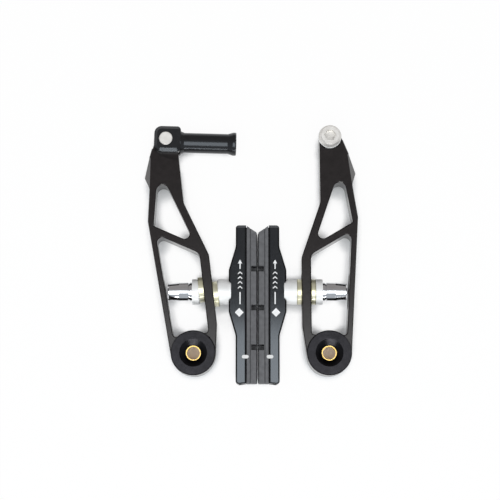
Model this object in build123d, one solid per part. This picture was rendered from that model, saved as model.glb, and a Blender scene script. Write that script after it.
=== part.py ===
# Linear-pull rim brake set, laid flat: two mirrored arms, a pad on each, a cable link and an anchor bolt.
# Millimetres. +X is the anchor arm's side, +Y runs towards the cable, +Z faces the viewer, Z = 0 is the table.
# Pieces are made about the plane between the pad faces (X = 0) and the line through both pivots (Y = 0).

import os
from math import atan2, cos, degrees, hypot, pi, radians, sin, sqrt

from build123d import *

os.makedirs("parts", exist_ok=True)

# Levels and arm
ARM_REACH = 106.4
BLADE_BACK = 4.0
BLADE_FRONT = 16.0
MID_Z = (BLADE_BACK + BLADE_FRONT) / 2
EDGE = 0.45
BOSS_R = 10.85
HEAD_R = 5.2
LEFT_LEAN = 7.6
RIGHT_LEAN = 0.6

# Arm outline in the arm's own frame: x outwards, y from the pivot to the cable end
KNEE = (-13.1, 12.6)
ELBOW = (-13.6, 46.4)
NECK = (-4.6, 73.6)
EAR_TOP = (9.6, 97.2)
EAR_TIP = (13.0, 89.2)
EAR_ROOT = (11.0, 82.8)
SHOULDER = (13.85, 66.5)
EAR_LINE_TOP = (8.9, 96.0)
EAR_LINE_FOOT = (10.9, 83.0)
EAR_TIP_DROP = 6.5

# Windows and rails
RAIL_INNER = 4.55
UPPER_APEX = (5.6, 92.7)
UPPER_OUTER = (11.3, 64.0)
UPPER_INNER = (-7.6, 52.6)
UPPER_FILLETS = (3.1, 1.0, 2.5)
STRUT = 3.35
LOWER_INNER_X = -9.1
LOWER_OUTER_TOP = (10.62, 55.0)
LOWER_OUTER_FOOT = (8.66, 12.0)
LOWER_FILLET_INNER = 4.0
LOWER_FILLET_OUTER = 2.5
LOWER_FILLET_FOOT = 1.6
SLOT_HALF_TRAVEL = 5.5
SLOT_WIDTH = 6.8
KEY_SLOT_WIDTH = 6.4
KEY_SLOT_FROM = 18.0
KEY_SLOT_TO = 32.0

# Cable ends of the arms
TONGUE_BACK = 7.5
TONGUE_FRONT = 12.5
TONGUE_CUT_AT = (-7.5, 6.5)
TONGUE_CUT_R = 18.2
ANCHOR_SEAT_R = 6.4
ANCHOR_SEAT_Z = 14.4

# Pivot group
SLEEVE_R = 5.0
SLEEVE_BORE_R = 4.05
SLEEVE_FRONT = 14.0
SLEEVE_LIP = 2.2
BOLT_HOLE_R = 3.15
RUN = 0.05
CAP_FRONT = 17.2
CAP_FLOAT = 0.1
CAP_WELL_R = 6.7
CAP_MOUTH_R = 3.6
CAP_WALL_R = 7.4
CAP_POCKET_R = 7.5
CAP_POCKET_FLOOR = 13.8
SPOOL_FLANGE = 1.1
SPOOL_FLANGE_R = 10.6
SPOOL_HUB_R = 6.8
SPOOL_TOP = 7.2
COIL_POCKET_R = 9.9
COIL_POCKET_TOP = 7.6

# Return spring, in the arm's frame
WIRE_R = 0.9
COIL_R = 8.6
COIL_PITCH = 2.0
COIL_TURNS = 1.75
COIL_LEAVES = -7.0
LEG_Z = 2.2
LEG_BEND = (10.2, 12.5)
LEG_KINK = (12.6, 64.0)
LEG_TOP = (9.5, 88.4)
LEG_HOOK = (11.4, 91.2)
LUG_AT = (11.35, 88.0)
LUG_R = 0.85
LUG_BACK = 1.0
LEG_NOTCH_OUT = 0.6
LEG_NOTCH_WIDE = 4.4
LEG_NOTCH_LONG = 14.0
LEG_NOTCH_DEEP = 1.2

# Pads, measured from the middle plane and from the stud
STUD_Y = 30.2
PAD_FACE = 0.4
PAD_FRONT = 32.3
PAD_REAR = -45.4
PAD_HALF = 5.5
SHOE_FACE = 5.55
SHOE_END = 10.6
SHOE_MIDDLE = 14.0
SHOE_SEAT = 12.9
SHOE_SEAT_R = 6.7
SHOE_PLATEAU = 10.2
SHOE_TAPER = 21.6
SHOE_EDGE = 0.7
SHOE_BEVEL = 1.4
BLOCK_STEP = 3.75
BLOCK_BACK = 5.2
BLOCK_HALF = 4.9
BLOCK_SHOULDER_HALF = 5.25
BLOCK_NOSE_FACE = 28.6
BLOCK_NOSE_BACK = 31.8
BLOCK_TAIL = -44.7
NOTCHES = (10.85, -8.15, -27.4)
NOTCH_WIDE = 2.8
NOTCH_DEEP = 2.7
NOTCH_SKIN = 1.0
FACE_BEVEL = 0.35
FACE_BEVEL_TALL = 1.4
STEP_GROOVE_WIDE = 0.45
STEP_GROOVE_DEEP = 0.9
RAIL_NECK_HALF = 2.6
RAIL_HEAD_HALF = 3.7
RAIL_NECK_X = 7.4
RAIL_HEAD_X = 9.0
RAIL_PLAY = 0.1
RAIL_STOP = 29.4
KEEPER_IN = 0.4
KEEPER_Y = -32.0
KEEPER_LONG = 3.3
KEEPER_WIDE = 1.7
KEEPER_HEAD = 0.8
KEEPER_SHANK_R = 0.75
KEEPER_TIP = -2.0

# Stud and clamp stack
STUD_R = 3.0
STUD_HEAD_R = 4.4
STUD_HEAD = 1.6
WASHER_R = 6.2
WASHER_BALL = 10.0
CUP_RIM = 2.3
CUP_HOLE_R = 4.4
BALL_PLAY = 0.04
THICK_WASHER = 6.3
THIN_WASHER = 3.3
NUT_LONG = 11.8
NUT_R = 4.7
NUT_TIP_R = 4.1
NUT_COLLAR = 1.1
NUT_GROOVE = 0.6
NUT_BODY = 6.3
NUT_FLATS = 9.0
NUT_THREAD = 6.2
STUD_SHORT = 0.6
KEY_ACROSS = 5.0

# Cable link, from its pin, tube along +x
LINK_TILT = -1.6
LINK_TAIL = -5.8
LINK_FRONT = 7.2
LINK_HALF = 6.4
LINK_BACK_Z = 3.0
LINK_FRONT_Z = 17.0
LINK_TAIL_FILLET = 3.6
LINK_NOSE_FILLET = 1.75
LINK_CHAMFER = 1.6
FORK_PLAY = 0.15
FORK_DEPTH = 6.9
TUBE_DROP = 0.6
TUBE_COLLAR = 8.9
TUBE_COLLAR_R = 5.7
TUBE_R = 4.95
TUBE_FLARE = 30.4
TUBE_RIM = 33.0
TUBE_END = 34.6
TUBE_RIM_R = 5.75
TUBE_BORE_R = 2.6
TUBE_BORE_FLOOR = 14.6
CABLE_HOLE_R = 1.3
PIN_R = 2.5
PIN_HEAD_R = 3.3
PIN_HEAD = 1.2
PIN_PROUD = 0.15
CLIP_R = 4.3
CLIP_THICK = 0.7
CLIP_GAP = 0.15
CLIP_GROOVE_R = 2.1

# Anchor bolt
ANCHOR_R = 3.0
ANCHOR_WASHER_R = 5.65
ANCHOR_WASHER = 2.0
ANCHOR_FLANGE = 0.9
ANCHOR_HEAD_R = 5.5
ANCHOR_CROWN_R = 4.3
ANCHOR_HEAD = 3.6
CABLE_GROOVE = 1.8
CABLE_GROOVE_AT = 4.2
THREAD_PLAY = 0.02

BOTTOM = (Align.CENTER, Align.CENTER, Align.MIN)


def disc(radius, z_from, z_to):
    return Pos(0, 0, z_from) * Cylinder(radius, z_to - z_from, align=BOTTOM)


def lathe(*profile):
    # Turns a closed (radius, z) outline about the Z axis.
    outline = Polyline(*[(r, 0, z) for r, z in profile], close=True)
    return revolve(make_face(outline), Axis.Z)


def slab(z_from, z_to, sketch):
    return extrude(Pos(0, 0, z_from) * sketch, z_to - z_from)


def shape(*points):
    return make_face(Polyline(*points, close=True))


def nearest(sketch, point):
    return sketch.vertices().sort_by_distance((point[0], point[1], 0))[0]


def rounded(sketch, *corners):
    for point, radius in corners:
        sketch = fillet(nearest(sketch, point), radius)
    return sketch


def tangent_point(point, centre, radius, side):
    # Where a line from the point touches the circle. side is +1 or -1.
    away = hypot(point[0] - centre[0], point[1] - centre[1])
    toward = atan2(point[1] - centre[1], point[0] - centre[0])
    swing = side * atan2(sqrt(away**2 - radius**2), radius)
    return (centre[0] + radius * cos(toward + swing), centre[1] + radius * sin(toward + swing))


def along(start, end, distance):
    length = hypot(end[0] - start[0], end[1] - start[1])
    return (
        start[0] + (end[0] - start[0]) * distance / length,
        start[1] + (end[1] - start[1]) * distance / length,
    )


def hexagon_socket(across, z_from, z_to):
    return slab(z_from, z_to, RegularPolygon(across / sqrt(3), 6))


# Where the inner rail stands in the arm's frame
rail_tilt = degrees(atan2(KNEE[0] - ELBOW[0], ELBOW[1] - KNEE[1]))
rail_along = (-sin(radians(rail_tilt)), cos(radians(rail_tilt)))
rail_out = (cos(radians(rail_tilt)), sin(radians(rail_tilt)))

# Where the clamp stack puts each arm
cup_reach = sqrt(WASHER_BALL**2 - WASHER_R**2)
inner_ball = SHOE_SEAT + THICK_WASHER - cup_reach


def stack(lean):
    # Tilt between stud and rail, centre of the outer ball seat, pivot's distance from the middle plane,
    # and the stud's distance up the rail from the knee.
    tilt = rail_tilt - lean
    slope = cos(radians(tilt))
    rail_near = inner_ball + (cup_reach + CUP_RIM) / slope
    rail_far = rail_near + RAIL_INNER / slope
    outer_ball = rail_far + (CUP_RIM + cup_reach) / slope
    turned_knee = (
        KNEE[0] * cos(radians(lean)) + KNEE[1] * sin(radians(lean)),
        KNEE[1] * cos(radians(lean)) - KNEE[0] * sin(radians(lean)),
    )
    knee_to_stud = (STUD_Y - turned_knee[1]) / cos(radians(tilt))
    pivot = rail_near - turned_knee[0] + knee_to_stud * sin(radians(tilt))
    return tilt, outer_ball, pivot, knee_to_stud


def arm_outline():
    pivot = (0, 0)
    head = (0, ARM_REACH)
    outline = shape(
        tangent_point(KNEE, pivot, BOSS_R, 1),
        KNEE,
        ELBOW,
        NECK,
        tangent_point(NECK, head, HEAD_R, -1),
        tangent_point(EAR_TOP, head, HEAD_R, 1),
        EAR_TOP,
        EAR_TIP,
        EAR_ROOT,
        SHOULDER,
        tangent_point(SHOULDER, pivot, BOSS_R, -1),
    )
    outline = rounded(
        outline,
        (KNEE, 9.0),
        (ELBOW, 3.0),
        (NECK, 6.0),
        (EAR_TIP, 0.9),
        (EAR_ROOT, 3.5),
        (SHOULDER, 2.5),
    )
    return outline + Circle(BOSS_R) + Pos(*head) * Circle(HEAD_R)


def upper_window():
    window = shape(UPPER_APEX, UPPER_OUTER, UPPER_INNER)
    return rounded(window, *zip((UPPER_APEX, UPPER_OUTER, UPPER_INNER), UPPER_FILLETS))


def lower_window():
    lean_out = (LOWER_OUTER_TOP[0] - LOWER_OUTER_FOOT[0]) / (LOWER_OUTER_TOP[1] - LOWER_OUTER_FOOT[1])
    strut_rise = (UPPER_OUTER[1] - UPPER_INNER[1]) / (UPPER_OUTER[0] - UPPER_INNER[0])
    strut_drop = STRUT * sqrt(1 + strut_rise**2)

    def strut_foot(x):
        return UPPER_INNER[1] + strut_rise * (x - UPPER_INNER[0]) - strut_drop

    def rail_face(y):
        t = (y - KNEE[1]) / rail_along[1]
        return KNEE[0] + rail_along[0] * t + RAIL_INNER * rail_out[0]

    inner_top = (rail_face(strut_foot(LOWER_INNER_X)), strut_foot(LOWER_INNER_X))
    outer_x = LOWER_OUTER_TOP[0] + lean_out * (strut_foot(LOWER_OUTER_TOP[0]) - LOWER_OUTER_TOP[1])
    outer_top = (outer_x, strut_foot(outer_x))
    outer_foot = (LOWER_OUTER_FOOT[0] - lean_out * LOWER_OUTER_FOOT[1], 0)
    inner_foot = (rail_face(0), 0)
    window = shape(inner_top, outer_top, outer_foot, inner_foot) - Circle(BOSS_R)
    foot_y = sqrt(BOSS_R**2 - inner_foot[0] ** 2)
    outer_foot_y = sqrt(BOSS_R**2 - outer_foot[0] ** 2)
    return rounded(
        window,
        (inner_top, LOWER_FILLET_INNER),
        (outer_top, LOWER_FILLET_OUTER),
        ((inner_foot[0], foot_y), LOWER_FILLET_FOOT),
        ((outer_foot[0], outer_foot_y), LOWER_FILLET_FOOT),
    )


def ear_bevel():
    # A wedge above the plane that falls from the ear line to the ear's tip.
    run = atan2(EAR_LINE_TOP[1] - EAR_LINE_FOOT[1], EAR_LINE_TOP[0] - EAR_LINE_FOOT[0])
    length = hypot(EAR_LINE_TOP[0] - EAR_LINE_FOOT[0], EAR_LINE_TOP[1] - EAR_LINE_FOOT[1])
    out = (EAR_TIP[0] - EAR_LINE_FOOT[0]) * sin(run) - (EAR_TIP[1] - EAR_LINE_FOOT[1]) * cos(run)
    wedge = make_face(Polyline((0, 0, 0), (2 * out, 0, -2 * EAR_TIP_DROP), (2 * out, 0, 1), (0, 0, 1), close=True))
    wedge = extrude(wedge, length + 4, dir=(0, 1, 0))
    turn = degrees(run) - 90
    start = along(EAR_LINE_FOOT, EAR_LINE_TOP, -2)
    return Pos(start[0], start[1], BLADE_FRONT) * Rot(0, 0, turn) * wedge


def slot_cut(centre, width, depth_from, depth_to):
    # A round-ended slot through a rail, long way along the rail, in the arm's frame.
    slot = Rot(0, 90, 0) * extrude(SlotCenterToCenter(2 * SLOT_HALF_TRAVEL, width, rotation=90), depth_to - depth_from)
    return Pos(centre[0], centre[1], MID_Z) * Rot(0, 0, rail_tilt) * Pos(depth_from, 0, 0) * slot


def arm(cable_end, slot_centre):
    blade = slab(BLADE_BACK, BLADE_FRONT, arm_outline() - upper_window() - lower_window())
    rims = blade.faces().sort_by(Axis.Z)
    blade = chamfer(rims[0].edges() + rims[-1].edges(), EDGE)
    blade -= ear_bevel()
    blade -= disc(SLEEVE_R + RUN, 0, BLADE_FRONT + 1)
    blade -= disc(COIL_POCKET_R, 0, COIL_POCKET_TOP)
    blade -= disc(CAP_POCKET_R, CAP_POCKET_FLOOR, BLADE_FRONT + 1)
    blade -= slot_cut(slot_centre, SLOT_WIDTH, -3, 8)
    blade -= slot_cut(slot_centre, KEY_SLOT_WIDTH, KEY_SLOT_FROM, KEY_SLOT_TO)
    blade += Pos(*LUG_AT, 0) * disc(LUG_R, LUG_BACK, BLADE_BACK + 1)
    blade -= leg_notch()
    head = Pos(0, ARM_REACH, 0)
    if cable_end == "tongue":
        cutter = Pos(TONGUE_CUT_AT[0], ARM_REACH + TONGUE_CUT_AT[1], 0)
        blade -= cutter * disc(TONGUE_CUT_R, 0, TONGUE_BACK)
        blade -= cutter * disc(TONGUE_CUT_R, TONGUE_FRONT, BLADE_FRONT + 1)
        blade -= head * disc(PIN_R + THREAD_PLAY, 0, BLADE_FRONT + 1)
    else:
        blade -= head * disc(ANCHOR_SEAT_R, ANCHOR_SEAT_Z, BLADE_FRONT + 1)
        blade -= head * disc(ANCHOR_R + THREAD_PLAY, 0, BLADE_FRONT + 1)
    return blade


def leg_notch():
    # Lets the spring leg out of the coil pocket through the boss's back rim.
    notch = Box(LEG_NOTCH_WIDE, LEG_NOTCH_LONG, 2 * (BLADE_BACK + LEG_NOTCH_DEEP), align=BOTTOM[:2] + (Align.CENTER,))
    return Pos(COIL_R + LEG_NOTCH_OUT, 0, 0) * Rot(0, 0, COIL_LEAVES) * notch


def return_spring():
    lead = COIL_PITCH / (2 * pi * COIL_R)
    leaves = radians(COIL_LEAVES)
    first = hypot(LEG_BEND[0] - COIL_R * cos(leaves), LEG_BEND[1] - COIL_R * sin(leaves))
    base = LEG_Z + first * lead
    coil = Helix(COIL_PITCH, COIL_PITCH * COIL_TURNS, COIL_R, lefthand=True)
    coil = Pos(0, 0, base) * Rot(0, 0, COIL_LEAVES) * coil
    foot = coil @ 0
    leg = FilletPolyline(
        (foot.X, foot.Y, foot.Z),
        (*LEG_BEND, LEG_Z),
        (*LEG_KINK, LEG_Z),
        (*LEG_TOP, LEG_Z),
        (*LEG_HOOK, LEG_Z),
        radius=1.6,
    )
    path = Wire(coil.edges() + leg.edges())
    return sweep(Plane(origin=path @ 0, z_dir=path % 0) * Circle(WIRE_R), path=path)


def pivot_sleeve():
    return lathe(
        (SLEEVE_BORE_R, 0),
        (SLEEVE_R, 0),
        (SLEEVE_R, SLEEVE_FRONT),
        (BOLT_HOLE_R, SLEEVE_FRONT),
        (BOLT_HOLE_R, SLEEVE_FRONT - SLEEVE_LIP),
        (SLEEVE_BORE_R, SLEEVE_FRONT - SLEEVE_LIP),
    )


def pivot_cap():
    under = BLADE_FRONT + CAP_FLOAT
    return lathe(
        (CAP_MOUTH_R, SLEEVE_FRONT),
        (CAP_WALL_R, SLEEVE_FRONT),
        (CAP_WALL_R, under),
        (BOSS_R, under),
        (BOSS_R, CAP_FRONT - EDGE),
        (BOSS_R - EDGE, CAP_FRONT),
        (CAP_WELL_R, CAP_FRONT),
        (CAP_MOUTH_R, SLEEVE_FRONT + 0.5),
    )


def spring_carrier():
    return lathe(
        (SLEEVE_R, 0),
        (SPOOL_FLANGE_R, 0),
        (SPOOL_FLANGE_R, SPOOL_FLANGE),
        (SPOOL_HUB_R, SPOOL_FLANGE),
        (SPOOL_HUB_R, SPOOL_TOP),
        (SLEEVE_R, SPOOL_TOP),
    )


# Pad pieces lie along +X from the middle plane, with the stud at Y = 0 and Z = 0.
def to_stud(piece):
    return Rot(0, 90, 0) * piece


def pad_holder():
    outline = shape(
        (SHOE_FACE, PAD_FRONT),
        (SHOE_END, PAD_FRONT),
        (SHOE_END, SHOE_TAPER),
        (SHOE_MIDDLE, SHOE_PLATEAU),
        (SHOE_MIDDLE, -SHOE_PLATEAU),
        (SHOE_END, -SHOE_TAPER),
        (SHOE_END, PAD_REAR),
        (SHOE_FACE, PAD_REAR + 0.6),
    )
    outline = rounded(
        outline,
        ((SHOE_END, PAD_FRONT), 1.6),
        ((SHOE_END, SHOE_TAPER), 7.0),
        ((SHOE_MIDDLE, SHOE_PLATEAU), 4.0),
        ((SHOE_MIDDLE, -SHOE_PLATEAU), 4.0),
        ((SHOE_END, -SHOE_TAPER), 7.0),
        ((SHOE_END, PAD_REAR), 1.6),
    )
    shoe = slab(-PAD_HALF, PAD_HALF, outline)
    rims = shoe.faces().sort_by(Axis.Z)
    shoe = chamfer(rims[0].edges() + rims[-1].edges(), SHOE_EDGE)
    shoe -= nose_bevel()
    shoe -= mirror(nose_bevel(), Plane.XY)
    rail_long = RAIL_STOP - PAD_REAR + 1
    corner = (Align.MIN, Align.MAX, Align.CENTER)
    neck = RAIL_NECK_HALF + RAIL_PLAY
    head = RAIL_HEAD_HALF + RAIL_PLAY
    shoe -= Pos(SHOE_FACE - 1, RAIL_STOP, 0) * Box(RAIL_NECK_X - SHOE_FACE + 2, rail_long, 2 * neck, align=corner)
    shoe -= Pos(RAIL_NECK_X, RAIL_STOP, 0) * Box(RAIL_HEAD_X + RAIL_PLAY - RAIL_NECK_X, rail_long, 2 * head, align=corner)
    shoe -= to_stud(disc(SHOE_SEAT_R, SHOE_SEAT, SHOE_MIDDLE + 1))
    shoe -= to_stud(disc(STUD_R + THREAD_PLAY, RAIL_NECK_X, SHOE_MIDDLE + 1))
    shoe -= to_stud(disc(STUD_HEAD_R + THREAD_PLAY, RAIL_NECK_X, RAIL_HEAD_X + RAIL_PLAY + STUD_HEAD))
    return shoe - keeper(RAIL_PLAY)


def nose_bevel():
    # Slopes the front end of the shoe's top face.
    top = PAD_HALF + 1
    end = PAD_FRONT + 1
    low = PAD_HALF - SHOE_BEVEL
    back = PAD_FRONT - SHOE_BEVEL
    wedge = Polyline((0, back, PAD_HALF), (0, PAD_FRONT, low), (0, end, low), (0, end, top), (0, back, top), close=True)
    return extrude(make_face(wedge), SHOE_MIDDLE, dir=(1, 0, 0))


def step_groove():
    # Runs the whole length of the block, on the face side of its raised back.
    long = BLOCK_NOSE_BACK - BLOCK_TAIL + 2
    depth = STEP_GROOVE_DEEP + 1
    corner = (Align.MAX, Align.MIN, Align.MIN)
    return Pos(BLOCK_STEP, BLOCK_TAIL - 1, BLOCK_HALF - STEP_GROOVE_DEEP) * Box(STEP_GROOVE_WIDE, long, depth, align=corner)


def face_bevel():
    # Steep bevel along the upper edge of the braking face.
    low = BLOCK_HALF - FACE_BEVEL_TALL
    edge = PAD_FACE + FACE_BEVEL
    start = BLOCK_TAIL - 1
    wedge = Polyline(
        (PAD_FACE - 1, start, low),
        (PAD_FACE, start, low),
        (edge, start, BLOCK_HALF),
        (edge, start, BLOCK_HALF + 1),
        (PAD_FACE - 1, start, BLOCK_HALF + 1),
        close=True,
    )
    return extrude(make_face(wedge), BLOCK_NOSE_BACK - BLOCK_TAIL + 2, dir=(0, 1, 0))


def pad_insert():
    tail = BLOCK_TAIL
    nose = (BLOCK_NOSE_BACK - BLOCK_NOSE_FACE) / (BLOCK_BACK - PAD_FACE)
    nose_step = BLOCK_NOSE_FACE + nose * (BLOCK_STEP - PAD_FACE)
    block = shape((PAD_FACE, tail), (BLOCK_STEP, tail), (BLOCK_STEP, nose_step), (PAD_FACE, BLOCK_NOSE_FACE))
    insert = slab(-BLOCK_HALF, BLOCK_HALF, block)
    insert -= step_groove() + mirror(step_groove(), Plane.XY)
    insert -= face_bevel() + mirror(face_bevel(), Plane.XY)
    for y in NOTCHES:
        notch = Rectangle(2 * NOTCH_DEEP, NOTCH_WIDE)
        insert -= Pos(PAD_FACE, y) * slab(NOTCH_SKIN - BLOCK_HALF, BLOCK_HALF + 1, notch)
    back = shape((BLOCK_STEP, tail), (BLOCK_BACK, tail), (BLOCK_BACK, BLOCK_NOSE_BACK), (BLOCK_STEP, nose_step))
    insert += slab(-BLOCK_SHOULDER_HALF, BLOCK_SHOULDER_HALF, back)
    rail_long = RAIL_STOP - RAIL_PLAY - tail
    corner = (Align.MIN, Align.MIN, Align.CENTER)
    insert += Pos(BLOCK_STEP, tail, 0) * Box(RAIL_NECK_X + 1 - BLOCK_STEP, rail_long, 2 * RAIL_NECK_HALF, align=corner)
    insert += Pos(RAIL_NECK_X + RAIL_PLAY, tail, 0) * Box(
        RAIL_HEAD_X - RAIL_NECK_X - RAIL_PLAY, rail_long, 2 * RAIL_HEAD_HALF, align=corner
    )
    return insert - keeper(RAIL_PLAY)


def keeper(play):
    # Oval head over the joint line, with a round shank down into the block's rail.
    middle = SHOE_FACE + KEEPER_IN
    head = slab(PAD_HALF - KEEPER_HEAD - play, PAD_HALF, SlotOverall(KEEPER_LONG + 2 * play, KEEPER_WIDE + 2 * play))
    shank = disc(KEEPER_SHANK_R + play, KEEPER_TIP - play, PAD_HALF - KEEPER_HEAD / 2)
    return Pos(middle, KEEPER_Y, 0) * (head + shank)


def pad_stud(end):
    start = RAIL_HEAD_X + RAIL_PLAY
    return to_stud(disc(STUD_HEAD_R, start, start + STUD_HEAD) + disc(STUD_R, start, end))


def convex_washer(flat_at, length, way):
    # A bored disc with a domed face. way = 1 domes towards +X.
    ball_from = length - cup_reach
    body = disc(WASHER_R, 0, WASHER_BALL) & Pos(0, 0, ball_from) * Sphere(WASHER_BALL - BALL_PLAY)
    body -= disc(STUD_R + THREAD_PLAY, -1, 2 * WASHER_BALL)
    if way < 0:
        body = Rot(180, 0, 0) * body
    return to_stud(Pos(0, 0, flat_at) * body)


def cupped_washer(ball_at, tilt, way):
    # Flat on the rail, hollow towards the ball's centre on the stud. way = 1 lies on the ball's +X side.
    body = disc(WASHER_R, cup_reach - 3, cup_reach + CUP_RIM) - Sphere(WASHER_BALL)
    body -= disc(CUP_HOLE_R, 0, 2 * WASHER_BALL)
    body = body.solids().sort_by(SortBy.VOLUME)[-1]
    if way < 0:
        body = Rot(180, 0, 0) * body
    return Pos(ball_at, 0, 0) * Rot(0, 0, tilt) * to_stud(body)


def pad_nut(start):
    taper_from = NUT_COLLAR + NUT_GROOVE + NUT_BODY - 1.6
    body = lathe(
        (0, 0),
        (NUT_R, 0),
        (NUT_R, NUT_COLLAR),
        (NUT_R - 0.35, NUT_COLLAR + 0.1),
        (NUT_R - 0.35, NUT_COLLAR + NUT_GROOVE),
        (NUT_R, NUT_COLLAR + NUT_GROOVE + 0.3),
        (NUT_R, taper_from),
        (NUT_TIP_R, NUT_LONG - 0.4),
        (NUT_TIP_R - 0.4, NUT_LONG),
        (0, NUT_LONG),
    )
    flats = slab(NUT_COLLAR + NUT_GROOVE, taper_from, RegularPolygon(NUT_FLATS / sqrt(3), 6))
    band = disc(NUT_R + 1, NUT_COLLAR + NUT_GROOVE, taper_from)
    body -= band - flats
    body -= disc(STUD_R + THREAD_PLAY, -1, NUT_THREAD)
    body -= hexagon_socket(KEY_ACROSS, NUT_THREAD - 0.5, NUT_LONG + 1)
    return to_stud(Pos(0, 0, start) * body)


# Cable link: pin at the origin, tube along +X, middle of the blade at Z = MID_Z
def cable_link():
    middle = (LINK_TAIL + LINK_FRONT) / 2
    block = Pos(middle, 0) * Rectangle(LINK_FRONT - LINK_TAIL, 2 * LINK_HALF)
    block = rounded(
        block,
        ((LINK_TAIL, LINK_HALF), LINK_TAIL_FILLET),
        ((LINK_TAIL, -LINK_HALF), LINK_TAIL_FILLET),
        ((LINK_FRONT, LINK_HALF), LINK_NOSE_FILLET),
        ((LINK_FRONT, -LINK_HALF), LINK_NOSE_FILLET),
    )
    link = slab(LINK_BACK_Z, LINK_FRONT_Z, block)
    rims = link.faces().sort_by(Axis.Z)
    link = chamfer(rims[0].edges() + rims[-1].edges(), LINK_CHAMFER)
    tube = lathe(
        (0, LINK_FRONT - 2),
        (TUBE_COLLAR_R, LINK_FRONT - 2),
        (TUBE_COLLAR_R, LINK_FRONT),
        (TUBE_R, TUBE_COLLAR),
        (TUBE_R, TUBE_FLARE),
        (TUBE_RIM_R, TUBE_RIM),
        (TUBE_RIM_R, TUBE_END - 0.4),
        (TUBE_RIM_R - 0.4, TUBE_END),
        (0, TUBE_END),
    )
    tube_place = Pos(0, -TUBE_DROP, MID_Z) * Rot(0, 90, 0)
    link += tube_place * tube
    fork_wide = TONGUE_FRONT - TONGUE_BACK + 2 * FORK_PLAY
    reach = FORK_DEPTH - LINK_TAIL + 1
    link -= Pos(FORK_DEPTH, 0, MID_Z) * Box(reach, 3 * LINK_HALF, fork_wide, align=(Align.MAX, Align.CENTER, Align.CENTER))
    link -= tube_place * disc(TUBE_BORE_R, TUBE_BORE_FLOOR, TUBE_END + 1)
    link -= tube_place * disc(CABLE_HOLE_R, FORK_DEPTH - 1, TUBE_END)
    link -= disc(PIN_R + RUN, 0, LINK_FRONT_Z + 1)
    return link - disc(PIN_HEAD_R + RUN, LINK_FRONT_Z + PIN_PROUD - PIN_HEAD - RUN, LINK_FRONT_Z + 1)


def link_pin():
    top = LINK_FRONT_Z + PIN_PROUD
    clip_front = LINK_BACK_Z - CLIP_GAP
    clip_back = clip_front - CLIP_THICK
    return lathe(
        (0, 0),
        (PIN_R - 0.5, 0),
        (PIN_R, 0.5),
        (PIN_R, clip_back),
        (CLIP_GROOVE_R, clip_back),
        (CLIP_GROOVE_R, clip_front),
        (PIN_R, clip_front),
        (PIN_R, top - PIN_HEAD),
        (PIN_HEAD_R, top - PIN_HEAD),
        (PIN_HEAD_R, top - 0.25),
        (PIN_HEAD_R - 0.25, top),
        (0, top),
    )


def link_clip():
    clip_front = LINK_BACK_Z - CLIP_GAP
    ring = Circle(CLIP_R) - Circle(CLIP_GROOVE_R + THREAD_PLAY)
    ring -= Pos(0, -CLIP_R) * Rectangle(2 * CLIP_GROOVE_R - 0.6, 2 * CLIP_R)
    return slab(clip_front - CLIP_THICK, clip_front, ring)


def anchor_bolt():
    seat = ANCHOR_SEAT_Z + ANCHOR_WASHER
    top = seat + ANCHOR_HEAD
    bolt = lathe(
        (0, 0),
        (ANCHOR_R - 0.6, 0),
        (ANCHOR_R, 0.6),
        (ANCHOR_R, seat),
        (ANCHOR_HEAD_R, seat),
        (ANCHOR_HEAD_R, seat + ANCHOR_FLANGE),
        (ANCHOR_CROWN_R + 0.5, top - 0.6),
        (ANCHOR_CROWN_R, top),
        (0, top),
    )
    return bolt - hexagon_socket(KEY_ACROSS, seat + 0.6, top + 1)


def anchor_washer():
    top = ANCHOR_SEAT_Z + ANCHOR_WASHER
    washer = disc(ANCHOR_WASHER_R, ANCHOR_SEAT_Z, top) - disc(ANCHOR_R + RUN, 0, top + 1)
    groove = Pos(0, -CABLE_GROOVE_AT, ANCHOR_SEAT_Z) * Rot(0, 90, 0) * Cylinder(CABLE_GROOVE / 2, 3 * ANCHOR_WASHER_R)
    return washer - groove


def flipped(piece):
    return mirror(piece, about=Plane.YZ)


def side_pieces(lean, cable_end):
    # One side of the set as it stands on +X.
    tilt, outer_ball, pivot, knee_to_stud = stack(lean)
    slot_centre = (KNEE[0] + rail_along[0] * knee_to_stud, KNEE[1] + rail_along[1] * knee_to_stud)
    nut_at = outer_ball - cup_reach + THIN_WASHER
    place = Pos(pivot, 0, 0) * Rot(0, 0, -lean)
    stud = Pos(0, STUD_Y, MID_Z)
    return {
        "brake_arm": place * arm(cable_end, slot_centre),
        "return_spring": place * return_spring(),
        "pivot_sleeve": place * pivot_sleeve(),
        "pivot_cap": place * pivot_cap(),
        "spring_carrier": place * spring_carrier(),
        "pad_holder": stud * pad_holder(),
        "pad_insert": stud * pad_insert(),
        "pad_keeper": stud * keeper(0),
        "pad_stud": stud * pad_stud(nut_at + NUT_THREAD - STUD_SHORT),
        "thick_washer": stud * convex_washer(SHOE_SEAT, THICK_WASHER, 1),
        "inner_cup_washer": stud * cupped_washer(inner_ball, tilt, 1),
        "outer_cup_washer": stud * cupped_washer(outer_ball, tilt, -1),
        "thin_washer": stud * convex_washer(nut_at, THIN_WASHER, -1),
        "pad_nut": stud * pad_nut(nut_at),
    }


def arm_head(lean):
    # The cable end's hole, with +X as the side of the arm.
    pivot = stack(lean)[2]
    return (pivot + ARM_REACH * sin(radians(lean)), ARM_REACH * cos(radians(lean)))


pieces = {}
for name, piece in side_pieces(RIGHT_LEAN, "anchor").items():
    pieces["right_" + name] = piece
for name, piece in side_pieces(LEFT_LEAN, "tongue").items():
    pieces["left_" + name] = flipped(piece)

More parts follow.
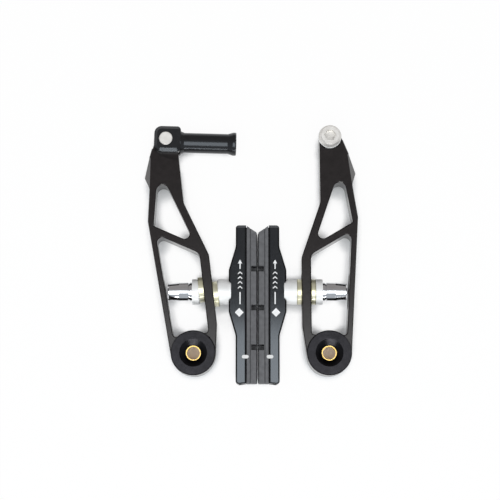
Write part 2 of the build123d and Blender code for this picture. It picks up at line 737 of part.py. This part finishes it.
right_head = Pos(arm_head(RIGHT_LEAN)[0], arm_head(RIGHT_LEAN)[1], 0)
left_head = Pos(-arm_head(LEFT_LEAN)[0], arm_head(LEFT_LEAN)[1], 0)
pieces["anchor_bolt"] = right_head * anchor_bolt()
pieces["anchor_washer"] = right_head * anchor_washer()
pieces["cable_link"] = left_head * Rot(0, 0, LINK_TILT) * cable_link()
pieces["link_pin"] = left_head * link_pin()
pieces["link_clip"] = left_head * link_clip()

# The set is moved so that the middle of its footprint is the origin.
boxes = [piece.bounding_box() for piece in pieces.values()]
middle_x = (min(b.min.X for b in boxes) + max(b.max.X for b in boxes)) / 2
middle_y = (min(b.min.Y for b in boxes) + max(b.max.Y for b in boxes)) / 2
home = Pos(-middle_x, -middle_y, 0)

for name, piece in pieces.items():
    piece = home * piece
    piece.label = name
    export_step(piece, "parts/" + name + ".step")
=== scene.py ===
from math import cos, pi, radians, sin

import bmesh
import bpy
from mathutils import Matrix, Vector


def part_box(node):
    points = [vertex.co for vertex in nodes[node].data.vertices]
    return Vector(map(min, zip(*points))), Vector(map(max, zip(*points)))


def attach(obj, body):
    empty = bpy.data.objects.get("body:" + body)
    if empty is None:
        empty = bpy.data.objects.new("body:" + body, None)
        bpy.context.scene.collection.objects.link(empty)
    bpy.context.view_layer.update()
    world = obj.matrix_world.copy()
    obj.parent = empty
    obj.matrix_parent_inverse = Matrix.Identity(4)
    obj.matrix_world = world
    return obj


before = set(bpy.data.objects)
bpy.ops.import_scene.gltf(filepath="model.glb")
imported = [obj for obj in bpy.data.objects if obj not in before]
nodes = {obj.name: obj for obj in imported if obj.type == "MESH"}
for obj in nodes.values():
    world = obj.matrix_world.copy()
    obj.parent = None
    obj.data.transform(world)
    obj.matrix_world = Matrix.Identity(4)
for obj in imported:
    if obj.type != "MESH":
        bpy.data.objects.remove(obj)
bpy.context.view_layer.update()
MM = 0.001


def box_mm(node):
    low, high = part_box(node)
    return low / MM, high / MM


left_block_low, left_block_high = box_mm("left_pad_insert")
right_block_low = box_mm("right_pad_insert")[0]
holder_high = box_mm("left_pad_holder")[1]
stud_low, stud_high = box_mm("left_pad_stud")

# The pads as the solids give them, in millimetres: the plane between the blocks, how far each braking face
# stands from it, the studs' line and the holders' top
PAD_PLANE = (left_block_high.x + right_block_low.x) / 2
PAD_FACE = (right_block_low.x - left_block_high.x) / 2
STUD_Y = (stud_low.y + stud_high.y) / 2
PAD_TOP = holder_high.z

# Braking faces, along the pad from its stud, in millimetres: the flat length, and the notches across it
FACE_NOSE = 28.3
FACE_TAIL = -44.4
NOTCH_HALF = 1.4
NOTCH_MIDDLES = (10.85, -8.15, -27.4)
NOTCH_SKIN = 1.0

# Printed marks: out from the pad plane, then along the pad from its stud, in millimetres
PRINT_X = 8.5
PRINT_LIFT = 0.02
PRINT_THICK = 0.03
ARROW_TIP = 15.2
ARROW_HEAD = 1.9
ARROW_HEAD_HALF = 1.0
ARROW_SHAFT_HALF = 0.27
ARROW_FOOT = 10.6
CHEVRON_TOP = 9.4
CHEVRON_PITCH = 2.35
CHEVRON_COUNT = 4
CHEVRON_HALF = 1.05
CHEVRON_RISE = 0.9
CHEVRON_STROKE = 0.6
LINE_TOP = -0.7
LINE_FOOT = -6.6
LINE_HALF = 0.29
DIAMOND_X = 8.9
DIAMOND_Y = -10.6
DIAMOND_HALF = 2.15

# Bedding ribs on the braking faces, in millimetres: lower than the gap at the end of a pad's slide, and
# staggered so that the two pads' ribs pass each other; the slim foot rib lies on the skin behind the notches
RIB_PROUD = 0.2
RIB_ROOT = 0.1
RIB_BASE_HALF = 0.32
RIB_CREST_HALF = 0.14
RIB_PITCH = 1.5
RIB_COUNT = 4
RIB_STAGGER = 0.38
RIB_MIDDLE_Z = 9.0
FOOT_RIB_Z = left_block_low.z + NOTCH_SKIN / 2
FOOT_RIB_STAGGER = 0.25
FOOT_RIB_BASE_HALF = 0.2
FOOT_RIB_CREST_HALF = 0.1

# Nose lips, in millimetres: from the block's shoulder to just inside the holder, along the pad, then up
LIP_BITE = 0.01
LIP_NEAR = 5.2
LIP_FAR = PAD_PLANE - holder_high.x + LIP_BITE
LIP_TAIL = 29.2
LIP_NOSE = 31.6
LIP_FOOT = 5.2
LIP_TOP = 12.5
LIP_NOSE_TOP = 11.6

# Finishes: the clouds and bumps as multiples of each finish's own grain, shared tints, and the turned black
CLOUD_SCALE = 0.25
CLOUD_DETAIL = 4.0
CLOUD_STOPS = (0.3, 0.7)
GRAIN_DETAIL = 2.0
BUMP_SCALE = 4
BUMP_STRENGTH = 0.5
# Painted shade on the yellow zinc: olive, darker towards both rims, from the first stop to the second
RIM_STOPS = (0.30, 0.46)
COOL_SHEEN = (0.84, 0.92, 1.0)
RIM_SHADE_OLIVE = (0.30, 0.28, 0.20)
TURNED_DARK = (0.0095, 0.0092, 0.0108)
TURNED_LIGHT = (0.0155, 0.015, 0.0175)
TURNED_ROUGH = (0.22, 0.30)
TURNED_CLOUD = 500.0
TURNED_GRAIN = 1500.0
TURNED_METAL = 0.85
TURNED_STRETCH = 0.85
TURNED_RINGS = 60.0
TURNED_RING_MM = 0.004
TURNED_RING_STRENGTH = 0.35

# Table, in metres, with the reach of its shade in millimetres: the open part is lifted to white, and the
# shade close to the object is left as lit
TABLE_HALF = 1.5
TABLE_DROP = 0.0002
TABLE_GREY = 0.88
TABLE_ROUGH = 0.9
TABLE_SPECULAR = 0.1
TABLE_LIFT = 0.95
SHADE_REACH = 8.0
SHADE_SAMPLES = 16
SHADE_FROM = 0.59
SHADE_TO = 0.73

# Light, in metres and watts: a big box overhead and a low strip, both on the pads' rear side, in a room that
# is paler on that side
KEY_AT = (0.0, -0.305, 1.05)
KEY_AIM = (0, 0, 0)
KEY_SIZE = (0.9, 0.8)
KEY_POWER = 9.5
KEY_COLOUR = (0.96, 0.985, 1.0)
STRIP_AT = (-0.095, -0.85, 0.215)
STRIP_AIM = (-0.04, 0.057, 0.017)
STRIP_SIZE = (0.7, 0.08)
STRIP_POWER = 1.7
STRIP_COLOUR = (1, 1, 1)
ROOM_REACH = 0.6
ROOM_REAR = (0.46, 0.49, 0.52)
ROOM_FRONT = (0.30, 0.285, 0.28)

# Camera, in millimetres and degrees, with its near clip in metres: it looks down from the pads' rear side,
# and the frame is as wide as FRAME_WIDTH at the arms' front faces
CAMERA_AIM = (-0.4, 1.42, 16.5)
CAMERA_ELEVATION = 81.5
CAMERA_DISTANCE = 700.0
CAMERA_NEAR = 0.01
FRAME_WIDTH = 242.9
SENSOR = 36.0


# Helpers for shading nodes
def new_material(name):
    material = bpy.data.materials.new(name)
    material.use_nodes = True
    tree = material.node_tree
    return material, tree, tree.nodes["Principled BSDF"]


def coordinates(tree, kind):
    return tree.nodes.new("ShaderNodeTexCoord").outputs[kind]


def noise(tree, scale, detail=3.0):
    texture = tree.nodes.new("ShaderNodeTexNoise")
    texture.inputs["Scale"].default_value = scale
    texture.inputs["Detail"].default_value = detail
    tree.links.new(coordinates(tree, "Object"), texture.inputs["Vector"])
    return texture.outputs["Fac"]


def ramp(tree, value, *stops):
    node = tree.nodes.new("ShaderNodeValToRGB")
    for element, (at, colour) in zip(node.color_ramp.elements, stops):
        element.position = at
        element.color = (*colour, 1)
    tree.links.new(value, node.inputs["Fac"])
    return node.outputs["Color"]


def spread(tree, value, low, high):
    node = tree.nodes.new("ShaderNodeMapRange")
    node.inputs["To Min"].default_value = low
    node.inputs["To Max"].default_value = high
    tree.links.new(value, node.inputs["Value"])
    return node.outputs["Result"]


def narrow(tree, value, low, high):
    node = tree.nodes.new("ShaderNodeMapRange")
    node.inputs["From Min"].default_value = low
    node.inputs["From Max"].default_value = high
    tree.links.new(value, node.inputs["Value"])
    return node.outputs["Result"]


def bump(tree, shader, height, distance_mm, strength):
    node = tree.nodes.new("ShaderNodeBump")
    node.inputs["Strength"].default_value = strength
    node.inputs["Distance"].default_value = distance_mm * MM
    tree.links.new(height, node.inputs["Height"])
    tree.links.new(node.outputs["Normal"], shader.inputs["Normal"])


def math_node(tree, operation, first, second=None, clamp=False):
    node = tree.nodes.new("ShaderNodeMath")
    node.operation = operation
    node.use_clamp = clamp
    tree.links.new(first, node.inputs[0])
    if isinstance(second, (int, float)):
        node.inputs[1].default_value = second
    elif second is not None:
        tree.links.new(second, node.inputs[1])
    return node.outputs["Value"]


def vector_node(tree, operation, first, second=(0, 0, 0)):
    node = tree.nodes.new("ShaderNodeVectorMath")
    node.operation = operation
    node.inputs[1].default_value = second
    tree.links.new(first, node.inputs[0])
    return node.outputs["Value" if operation == "LENGTH" else "Vector"]


def axis_rings(tree, rings):
    # Rings about the middle of the piece's own box, for turned faces.
    centred = vector_node(tree, "SUBTRACT", coordinates(tree, "Generated"), (0.5, 0.5, 0))
    flat = vector_node(tree, "MULTIPLY", centred, (1, 1, 0))
    radius = vector_node(tree, "LENGTH", flat)
    return math_node(tree, "SINE", math_node(tree, "MULTIPLY", radius, rings * 2 * pi))


def radial_tangent(tree, shader):
    tangent = tree.nodes.new("ShaderNodeTangent")
    tangent.direction_type = "RADIAL"
    tangent.axis = "Z"
    tree.links.new(tangent.outputs["Tangent"], shader.inputs["Tangent"])


def rim_shaded(tree, colour, olive_shade):
    # Painted shade: the colour turns darker olive towards the two rims, along the stud's axis.
    spot = tree.nodes.new("ShaderNodeSeparateXYZ")
    tree.links.new(coordinates(tree, "Generated"), spot.inputs["Vector"])
    off_middle = math_node(tree, "ABSOLUTE", math_node(tree, "SUBTRACT", spot.outputs["X"], 0.5))
    unshaded_to, shaded_from = RIM_STOPS
    mix = tree.nodes.new("ShaderNodeMix")
    mix.data_type = "RGBA"
    mix.blend_type = "MULTIPLY"
    mix.inputs["Factor"].default_value = 1.0
    tree.links.new(colour, mix.inputs["A"])
    tree.links.new(ramp(tree, off_middle, (unshaded_to, (1, 1, 1)), (shaded_from, olive_shade)), mix.inputs["B"])
    return mix.outputs["Result"]


# Finishes
def finish_material(
    name, dark, light, rough, grain, bump_mm, metal=0.0, specular=0.5, tint=(1, 1, 1), painted_rim_shade=None
):
    # Colour and roughness wander between two values; fine grain lifts the surface.
    material, tree, shader = new_material(name)
    cloud = noise(tree, grain * CLOUD_SCALE, CLOUD_DETAIL)
    colour = ramp(tree, cloud, (CLOUD_STOPS[0], dark), (CLOUD_STOPS[1], light))
    # Painted shade: with an olive given, the colour is darkened towards the rims.
    if painted_rim_shade:
        colour = rim_shaded(tree, colour, painted_rim_shade)
    tree.links.new(colour, shader.inputs["Base Color"])
    tree.links.new(spread(tree, noise(tree, grain, GRAIN_DETAIL), *rough), shader.inputs["Roughness"])
    shader.inputs["Metallic"].default_value = metal
    shader.inputs["Specular IOR Level"].default_value = specular
    shader.inputs["Specular Tint"].default_value = (*tint, 1)
    bump(tree, shader, noise(tree, grain * BUMP_SCALE, GRAIN_DETAIL), bump_mm, BUMP_STRENGTH)
    return material


def turned_black():
    # Turned and dyed aluminium: fine rings, gloss drawn out across them.
    material, tree, shader = new_material("turned_black")
    cloud = noise(tree, TURNED_CLOUD)
    colour = ramp(tree, cloud, (CLOUD_STOPS[0], TURNED_DARK), (CLOUD_STOPS[1], TURNED_LIGHT))
    tree.links.new(colour, shader.inputs["Base Color"])
    tree.links.new(spread(tree, noise(tree, TURNED_GRAIN), *TURNED_ROUGH), shader.inputs["Roughness"])
    shader.inputs["Metallic"].default_value = TURNED_METAL
    shader.inputs["Anisotropic"].default_value = TURNED_STRETCH
    radial_tangent(tree, shader)
    bump(tree, shader, axis_rings(tree, TURNED_RINGS), TURNED_RING_MM, TURNED_RING_STRENGTH)
    return material


anodised = finish_material(
    "anodised_black",
    dark=(0.0125, 0.010, 0.0098),
    light=(0.0175, 0.0142, 0.014),
    rough=(0.15, 0.21),
    grain=1600.0,
    bump_mm=0.003,
    specular=0.3,
)
anodised_link = finish_material(
    "anodised_black_link",
    dark=(0.0095, 0.009, 0.0095),
    light=(0.013, 0.0125, 0.013),
    rough=(0.17, 0.24),
    grain=1600.0,
    bump_mm=0.003,
    specular=0.4,
    tint=COOL_SHEEN,
)
shoe = finish_material(
    "shoe_black",
    dark=(0.0075, 0.0073, 0.0078),
    light=(0.0115, 0.0112, 0.012),
    rough=(0.08, 0.12),
    grain=1400.0,
    bump_mm=0.002,
    specular=0.65,
    tint=COOL_SHEEN,
)
rubber = finish_material(
    "brake_rubber",
    dark=(0.093, 0.093, 0.098),
    light=(0.129, 0.129, 0.135),
    rough=(0.62, 0.78),
    grain=2200.0,
    bump_mm=0.02,
    specular=0.35,
)
brass = finish_material(
    "sleeve_brass",
    dark=(0.86, 0.57, 0.15),
    light=(0.93, 0.66, 0.21),
    rough=(0.22, 0.32),
    grain=1500.0,
    bump_mm=0.002,
    metal=0.45,
)
spool_plastic = finish_material(
    "carrier_plastic",
    dark=(0.014, 0.014, 0.015),
    light=(0.022, 0.022, 0.023),
    rough=(0.42, 0.55),
    grain=1200.0,
    bump_mm=0.012,
)
spring_steel = finish_material(
    "spring_steel",
    dark=(0.50, 0.50, 0.51),
    light=(0.66, 0.66, 0.67),
    rough=(0.26, 0.38),
    grain=1800.0,
    bump_mm=0.004,
    metal=1.0,
)
plain_steel = finish_material(
    "plain_steel",
    dark=(0.66, 0.635, 0.60),
    light=(0.78, 0.755, 0.72),
    rough=(0.34, 0.44),
    grain=1500.0,
    bump_mm=0.004,
    metal=0.5,
)
white_zinc = finish_material(
    "white_zinc",
    dark=(0.76, 0.76, 0.75),
    light=(0.84, 0.84, 0.83),
    rough=(0.38, 0.48),
    grain=1300.0,
    bump_mm=0.005,
    metal=0.1,
)
yellow_zinc = finish_material(
    "yellow_zinc",
    dark=(0.60, 0.57, 0.38),
    light=(0.74, 0.72, 0.56),
    rough=(0.28, 0.38),
    grain=1000.0,
    bump_mm=0.005,
    metal=0.6,
    # Painted shade: darker olive towards the washers' rims.
    painted_rim_shade=RIM_SHADE_OLIVE,
)
chromed = finish_material(
    "chromed",
    dark=(0.74, 0.75, 0.77),
    light=(0.82, 0.83, 0.85),
    rough=(0.07, 0.13),
    grain=900.0,
    bump_mm=0.002,
    metal=1.0,
)
pale_plastic = finish_material(
    "pale_plastic",
    dark=(0.58, 0.58, 0.57),
    light=(0.70, 0.70, 0.69),
    rough=(0.40, 0.52),
    grain=1200.0,
    bump_mm=0.008,
)
print_white = finish_material(
    "print_white",
    dark=(0.74, 0.74, 0.74),
    light=(0.86, 0.86, 0.86),
    rough=(0.45, 0.60),
    grain=2500.0,
    bump_mm=0.004,
)
cap_black = turned_black()

SIDE_FINISHES = {
    "brake_arm": anodised,
    "return_spring": spring_steel,
    "pivot_sleeve": brass,
    "pivot_cap": cap_black,
    "spring_carrier": spool_plastic,
    "pad_holder": shoe,
    "pad_insert": rubber,
    "pad_keeper": pale_plastic,
    "pad_stud": plain_steel,
    "thick_washer": white_zinc,
    "inner_cup_washer": yellow_zinc,
    "outer_cup_washer": yellow_zinc,
    "thin_washer": white_zinc,
    "pad_nut": chromed,
}
SINGLE_FINISHES = {
    "anchor_bolt": plain_steel,
    "anchor_washer": white_zinc,
    "cable_link": anodised_link,
    "link_pin": plain_steel,
    "link_clip": spring_steel,
}


def dress(name, material):
    mesh = nodes[name].data
    mesh.materials.clear()
    mesh.materials.append(material)


for side_name in ("left", "right"):
    for piece, material in SIDE_FINISHES.items():
        dress(f"{side_name}_{piece}", material)
for piece, material in SINGLE_FINISHES.items():
    dress(piece, material)


def add_object(name, form):
    mesh = bpy.data.meshes.new(name)
    form.to_mesh(mesh)
    form.free()
    item = bpy.data.objects.new(name, mesh)
    bpy.context.scene.collection.objects.link(item)
    return item


# Printed marks along each pad, from the nose: arrow, chevrons, line and diamond
def arrow_outline():
    neck = ARROW_TIP - ARROW_HEAD
    return [
        (0, ARROW_TIP),
        (-ARROW_HEAD_HALF, neck),
        (-ARROW_SHAFT_HALF, neck),
        (-ARROW_SHAFT_HALF, ARROW_FOOT),
        (ARROW_SHAFT_HALF, ARROW_FOOT),
        (ARROW_SHAFT_HALF, neck),
        (ARROW_HEAD_HALF, neck),
    ]


def chevron_outline(top):
    foot = top - CHEVRON_RISE
    return [
        (0, top),
        (-CHEVRON_HALF, foot),
        (-CHEVRON_HALF, foot - CHEVRON_STROKE),
        (0, top - CHEVRON_STROKE),
        (CHEVRON_HALF, foot - CHEVRON_STROKE),
        (CHEVRON_HALF, foot),
    ]


def line_outline():
    return [
        (-LINE_HALF, LINE_TOP),
        (-LINE_HALF, LINE_FOOT),
        (LINE_HALF, LINE_FOOT),
        (LINE_HALF, LINE_TOP),
    ]


def diamond_outline(side):
    out = side * (DIAMOND_X - PRINT_X)
    return [
        (out, DIAMOND_Y + DIAMOND_HALF),
        (out - DIAMOND_HALF, DIAMOND_Y),
        (out, DIAMOND_Y - DIAMOND_HALF),
        (out + DIAMOND_HALF, DIAMOND_Y),
    ]


def print_outlines(side):
    tops = [CHEVRON_TOP - index * CHEVRON_PITCH for index in range(CHEVRON_COUNT)]
    chevrons = [chevron_outline(top) for top in tops]
    return [arrow_outline(), *chevrons, line_outline(), diamond_outline(side)]


def pad_print(name, side, body):
    form = bmesh.new()
    middle = PAD_PLANE + side * PRINT_X
    level = PAD_TOP + PRINT_LIFT
    for outline in print_outlines(side):
        corners = [((middle + x) * MM, (STUD_Y + y) * MM, level * MM) for x, y in outline]
        form.faces.new([form.verts.new(corner) for corner in corners])
    bmesh.ops.triangulate(form, faces=list(form.faces))
    lifted = bmesh.ops.extrude_face_region(form, geom=list(form.faces))
    risen = [item for item in lifted["geom"] if isinstance(item, bmesh.types.BMVert)]
    bmesh.ops.translate(form, verts=risen, vec=(0, 0, PRINT_THICK * MM))
    bmesh.ops.recalc_face_normals(form, faces=list(form.faces))
    marks = add_object(name, form)
    marks.data.materials.append(print_white)
    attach(marks, body)


pad_print("left_pad_print", -1, "left_pad")
pad_print("right_pad_print", 1, "right_pad")


# Rubber moulded on the blocks
def bridge(form, first, second):
    # A closed bar between two outlines with as many corners each, in millimetres, Y counted from the stud.
    start, end = [
        [form.verts.new((x * MM, (STUD_Y + y) * MM, z * MM)) for x, y, z in outline]
        for outline in (first, second)
    ]
    form.faces.new(start)
    form.faces.new(end)
    for corner in range(len(start)):
        after = (corner + 1) % len(start)
        form.faces.new((start[corner], start[after], end[after], end[corner]))


def add_rubber(name, form, body):
    bmesh.ops.recalc_face_normals(form, faces=list(form.faces))
    item = add_object(name, form)
    item.data.materials.append(rubber)
    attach(item, body)


# Bedding ribs: fine lengthwise ridges on the braking faces, in stretches between the notches
def rib_spans():
    edges = [FACE_NOSE]
    for middle in NOTCH_MIDDLES:
        edges += [middle + NOTCH_HALF, middle - NOTCH_HALF]
    edges.append(FACE_TAIL)
    return list(zip(edges[1::2], edges[0::2]))


def rib(form, side, middle, span, base=RIB_BASE_HALF, top=RIB_CREST_HALF):
    face = PAD_PLANE + side * PAD_FACE
    root = face + side * RIB_ROOT
    crest = face - side * RIB_PROUD
    profile = [
        (root, middle - base),
        (crest, middle - top),
        (crest, middle + top),
        (root, middle + base),
    ]
    tail, nose = [[(x, y, z) for x, z in profile] for y in span]
    bridge(form, tail, nose)


def pad_ribs(name, side, body):
    form = bmesh.new()
    lowest = RIB_MIDDLE_Z + side * RIB_STAGGER - RIB_PITCH * (RIB_COUNT - 1) / 2
    for index in range(RIB_COUNT):
        for span in rib_spans():
            rib(form, side, lowest + index * RIB_PITCH, span)
    foot = FOOT_RIB_Z + side * FOOT_RIB_STAGGER
    rib(form, side, foot, (FACE_TAIL, FACE_NOSE), FOOT_RIB_BASE_HALF, FOOT_RIB_CREST_HALF)
    add_rubber(name, form, body)


pad_ribs("left_pad_ribs", -1, "left_pad")
pad_ribs("right_pad_ribs", 1, "right_pad")


# Nose lips: a thin skirt of each block that closes the slit beside its holder, ahead of the rail
def nose_lip(name, side, body):
    form = bmesh.new()
    profile = [
        (LIP_TAIL, LIP_FOOT),
        (LIP_NOSE, LIP_FOOT),
        (LIP_NOSE, LIP_NOSE_TOP),
        (LIP_TAIL, LIP_TOP),
    ]
    near, far = [[(PAD_PLANE + side * out, y, z) for y, z in profile] for out in (LIP_NEAR, LIP_FAR)]
    bridge(form, near, far)
    add_rubber(name, form, body)


nose_lip("left_pad_nose_lip", -1, "left_pad")
nose_lip("right_pad_nose_lip", 1, "right_pad")


# Table
def open_share(tree):
    shade = tree.nodes.new("ShaderNodeAmbientOcclusion")
    shade.samples = SHADE_SAMPLES
    shade.inputs["Distance"].default_value = SHADE_REACH * MM
    return narrow(tree, shade.outputs["AO"], SHADE_FROM, SHADE_TO)


def table_white():
    material, tree, shader = new_material("white_table")
    shader.inputs["Base Color"].default_value = (TABLE_GREY, TABLE_GREY, TABLE_GREY, 1)
    shader.inputs["Roughness"].default_value = TABLE_ROUGH
    shader.inputs["Specular IOR Level"].default_value = TABLE_SPECULAR
    path = tree.nodes.new("ShaderNodeLightPath").outputs
    seen = math_node(tree, "ADD", path["Is Camera Ray"], path["Is Glossy Ray"])
    seen = math_node(tree, "ADD", seen, path["Is Transmission Ray"], clamp=True)
    share = math_node(tree, "MULTIPLY", seen, TABLE_LIFT)
    glow = tree.nodes.new("ShaderNodeEmission")
    blend = tree.nodes.new("ShaderNodeMixShader")
    tree.links.new(math_node(tree, "MULTIPLY", share, open_share(tree)), blend.inputs["Fac"])
    tree.links.new(shader.outputs["BSDF"], blend.inputs[1])
    tree.links.new(glow.outputs["Emission"], blend.inputs[2])
    tree.links.new(blend.outputs["Shader"], tree.nodes["Material Output"].inputs["Surface"])
    return material


def table():
    form = bmesh.new()
    bmesh.ops.create_grid(form, x_segments=1, y_segments=1, size=TABLE_HALF)
    sheet = add_object("table", form)
    sheet.data.materials.append(table_white())
    sheet.location.z = -TABLE_DROP


table()


# Light
def softbox(name, at, aim, size, power, colour):
    lamp = bpy.data.lights.new(name, "AREA")
    lamp.shape = "RECTANGLE"
    lamp.size, lamp.size_y = size
    lamp.energy = power
    lamp.color = colour
    holder = bpy.data.objects.new(name, lamp)
    holder.location = at
    holder.rotation_euler = (Vector(aim) - Vector(at)).to_track_quat("-Z", "Y").to_euler()
    bpy.context.scene.collection.objects.link(holder)


def room():
    world = bpy.data.worlds.new("studio")
    world.use_nodes = True
    bpy.context.scene.world = world
    tree = world.node_tree
    facing = tree.nodes.new("ShaderNodeSeparateXYZ")
    tree.links.new(coordinates(tree, "Generated"), facing.inputs["Vector"])
    across = narrow(tree, facing.outputs["Y"], -ROOM_REACH, ROOM_REACH)
    shade = ramp(tree, across, (0.0, ROOM_REAR), (1.0, ROOM_FRONT))
    tree.links.new(shade, tree.nodes["Background"].inputs["Color"])


softbox("key", KEY_AT, KEY_AIM, KEY_SIZE, KEY_POWER, KEY_COLOUR)
softbox("front_strip", STRIP_AT, STRIP_AIM, STRIP_SIZE, STRIP_POWER, STRIP_COLOUR)
room()


# Camera
def viewpoint():
    camera = bpy.data.cameras.new("camera")
    camera.sensor_width = SENSOR
    camera.lens = SENSOR * CAMERA_DISTANCE / FRAME_WIDTH
    camera.clip_start = CAMERA_NEAR
    viewer = bpy.data.objects.new("camera", camera)
    tilt = radians(CAMERA_ELEVATION)
    back = (0, -CAMERA_DISTANCE * cos(tilt), CAMERA_DISTANCE * sin(tilt))
    viewer.location = [(aim + step) * MM for aim, step in zip(CAMERA_AIM, back)]
    viewer.rotation_euler = (pi / 2 - tilt, 0, 0)
    bpy.context.scene.collection.objects.link(viewer)
    bpy.context.scene.camera = viewer


viewpoint()
bpy.context.scene.view_settings.view_transform = "Standard"
